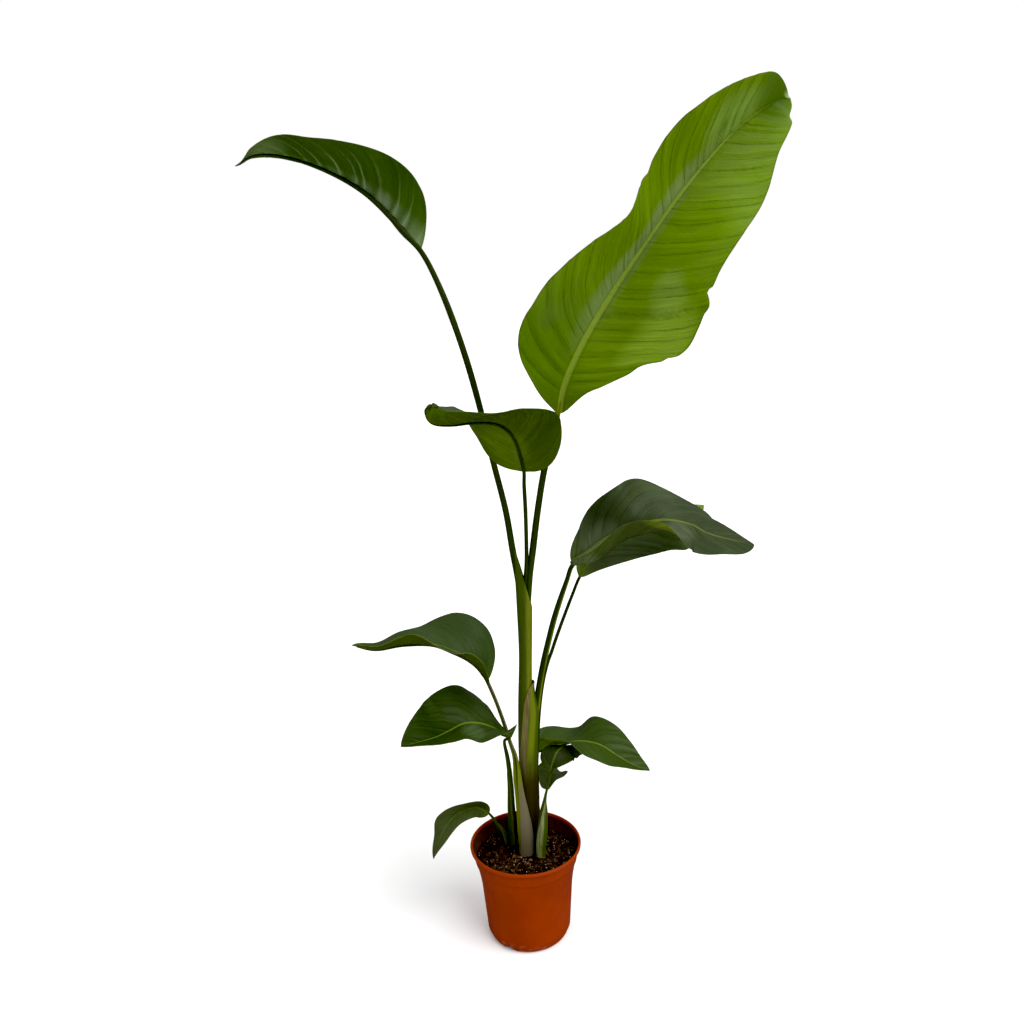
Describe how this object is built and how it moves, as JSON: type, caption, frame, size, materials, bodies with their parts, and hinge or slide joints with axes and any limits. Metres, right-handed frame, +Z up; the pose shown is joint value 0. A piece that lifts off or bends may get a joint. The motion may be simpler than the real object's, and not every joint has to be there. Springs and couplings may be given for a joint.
{
  "type": "potted bird of paradise",
  "caption": "Bird of paradise house plant: broad paddle-shaped leaves on long clasping stems in a tapered plastic nursery pot of soil.",
  "frame": {"origin": "centre of the pot's foot, on the surface that it stands on", "axes": "+Z up along the pot and the stems; the front is -Y; the tallest leaf leans to +X"},
  "size_m": [0.7623, 0.3079, 1.3502],
  "materials": {
    "pot_plastic": "satin terracotta-orange plastic, faintly scuffed",
    "soil": "moist bark and peat mix",
    "leaf_dark": "satin waxy mid-green",
    "leaf_bright": "satin waxy yellow-green",
    "leaf_olive": "satin waxy olive green",
    "leaf_grey": "satin waxy grey-green"
  },
  "bodies": {
    "root": {"pot": "pot_plastic", "soil": "soil", "leaf_high_left": "leaf_dark", "leaf_high_right": "leaf_bright", "leaf_centre": "leaf_olive", "leaf_right_front": "leaf_grey", "leaf_right_rear": "leaf_grey", "leaf_left_arching": "leaf_grey", "leaf_left_low": "leaf_dark", "leaf_right_low": "leaf_dark", "leaf_right_small": "leaf_grey", "leaf_rear_small": "leaf_grey", "leaf_over_rim": "leaf_dark"}
  },
  "joints": []
}
